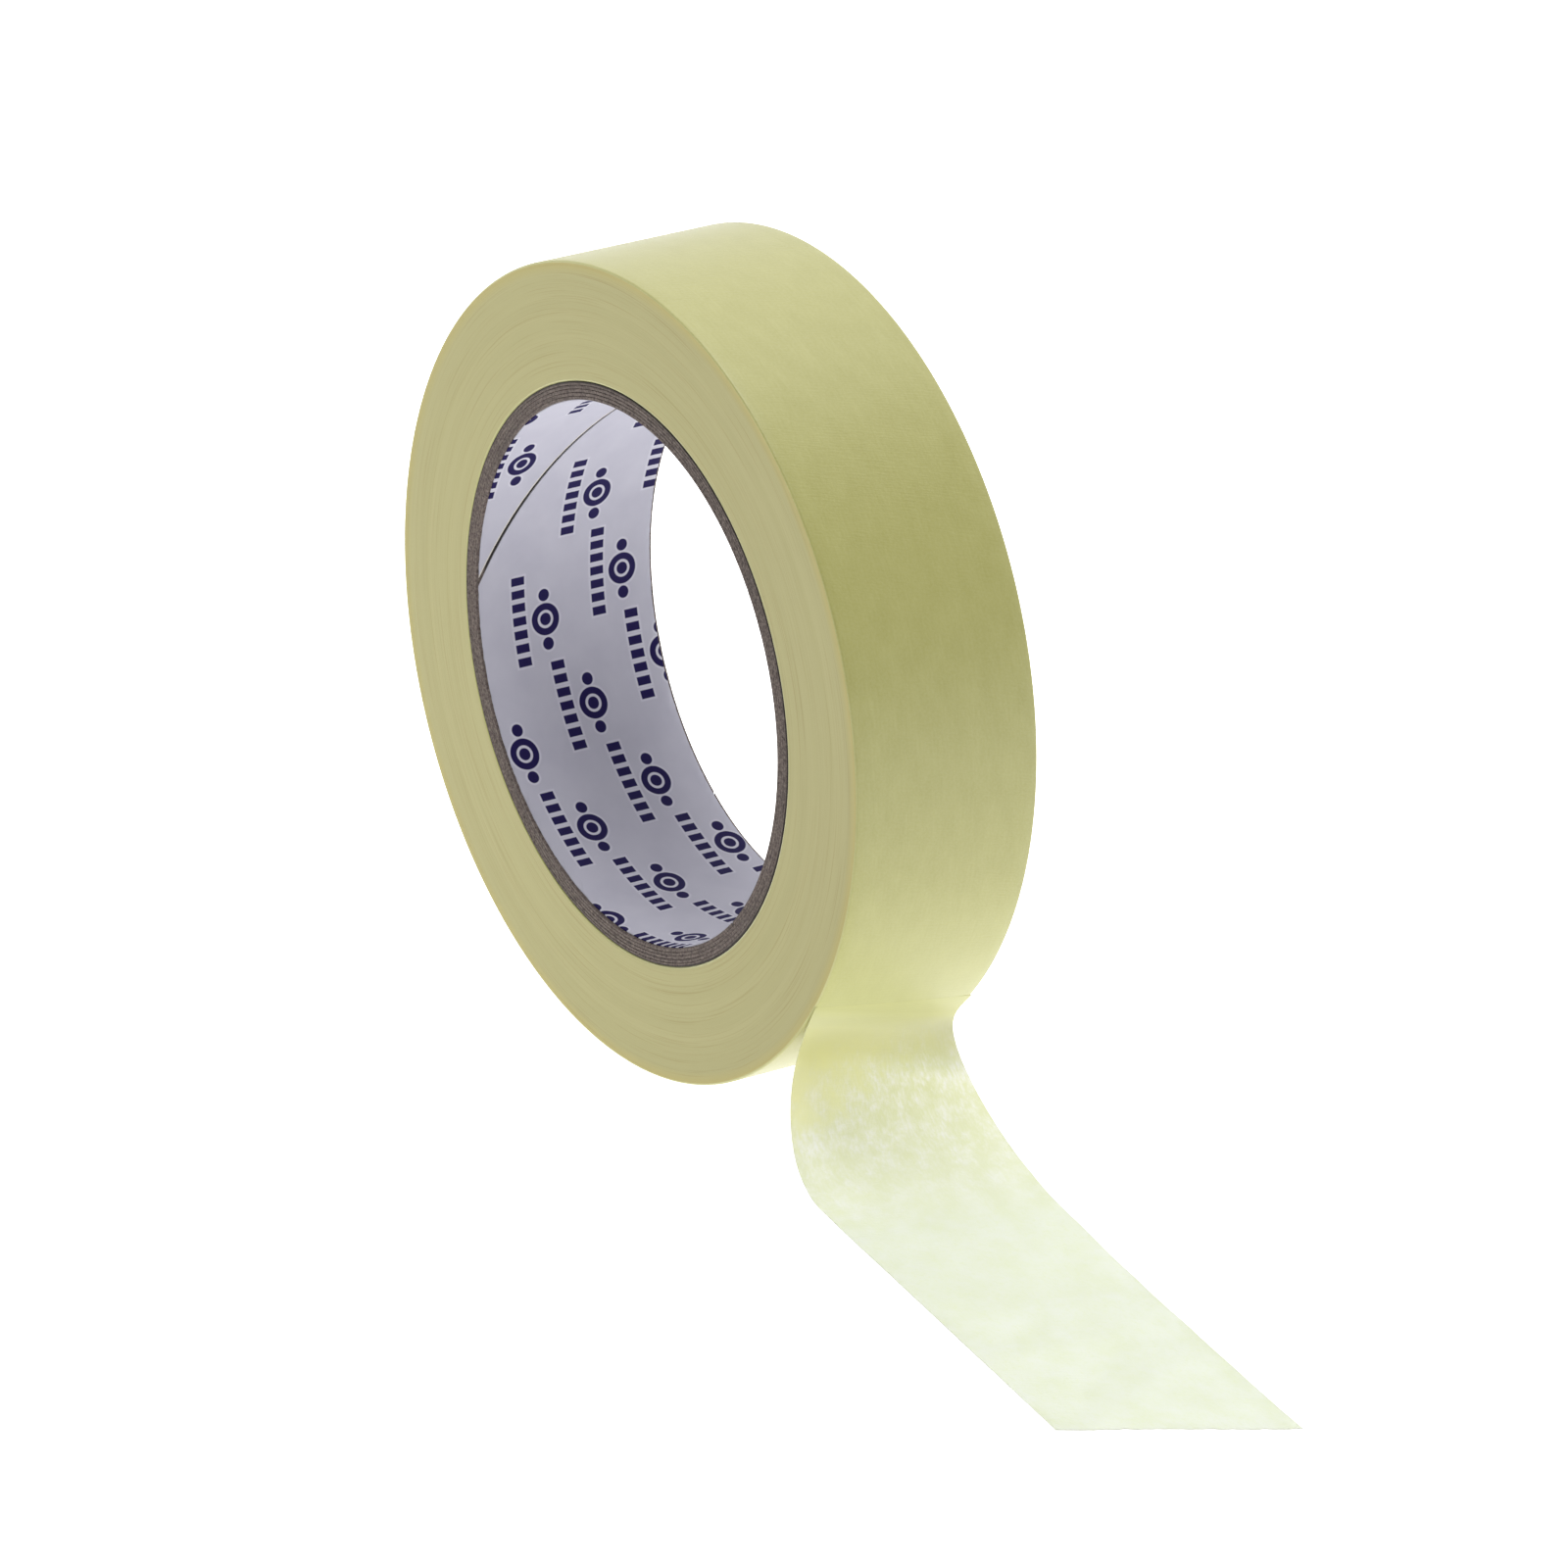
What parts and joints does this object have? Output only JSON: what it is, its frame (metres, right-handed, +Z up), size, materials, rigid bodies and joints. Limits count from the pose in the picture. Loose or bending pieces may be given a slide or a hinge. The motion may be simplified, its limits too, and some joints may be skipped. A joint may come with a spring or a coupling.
{
  "type": "masking tape roll",
  "caption": "Roll of crepe paper masking tape on a board core, standing on its rim, with a loose end that unwinds round the roll and lifts off the table.",
  "frame": {"origin": "centre of the core's bore, at half the tape's width", "axes": "+Y along the roll's axis, +Z up with the table at Z = -0.0576 m, and the loose end running towards +X"},
  "size_m": [0.2047, 0.0461, 0.1152],
  "materials": {
    "crepe_paper": "matte",
    "core_board": "matte",
    "liner_paper": "satin"
  },
  "bodies": {
    "roll": {"core_liner": "liner_paper", "core_ply_1": "core_board", "core_ply_2": "core_board", "core_ply_3": "core_board", "core_ply_4": "core_board", "core_ply_5": "core_board", "wound_tape": "crepe_paper"},
    "tail": {"tail_bend": "crepe_paper"},
    "tail_end": {"tail_strip": "crepe_paper"}
  },
  "joints": [
    {"name": "unwind", "type": "hinge", "parent": "roll", "child": "tail", "pos_m": [0, 0, 0], "axis": [0, -1, 0], "continuous": true},
    {"name": "tail_lift", "type": "hinge", "parent": "tail", "child": "tail_end", "pos_m": [0.07002, -0.00693, -0.05747], "axis": [-0.165, -0.9863, 0], "range_deg": [0, 75]}
  ]
}
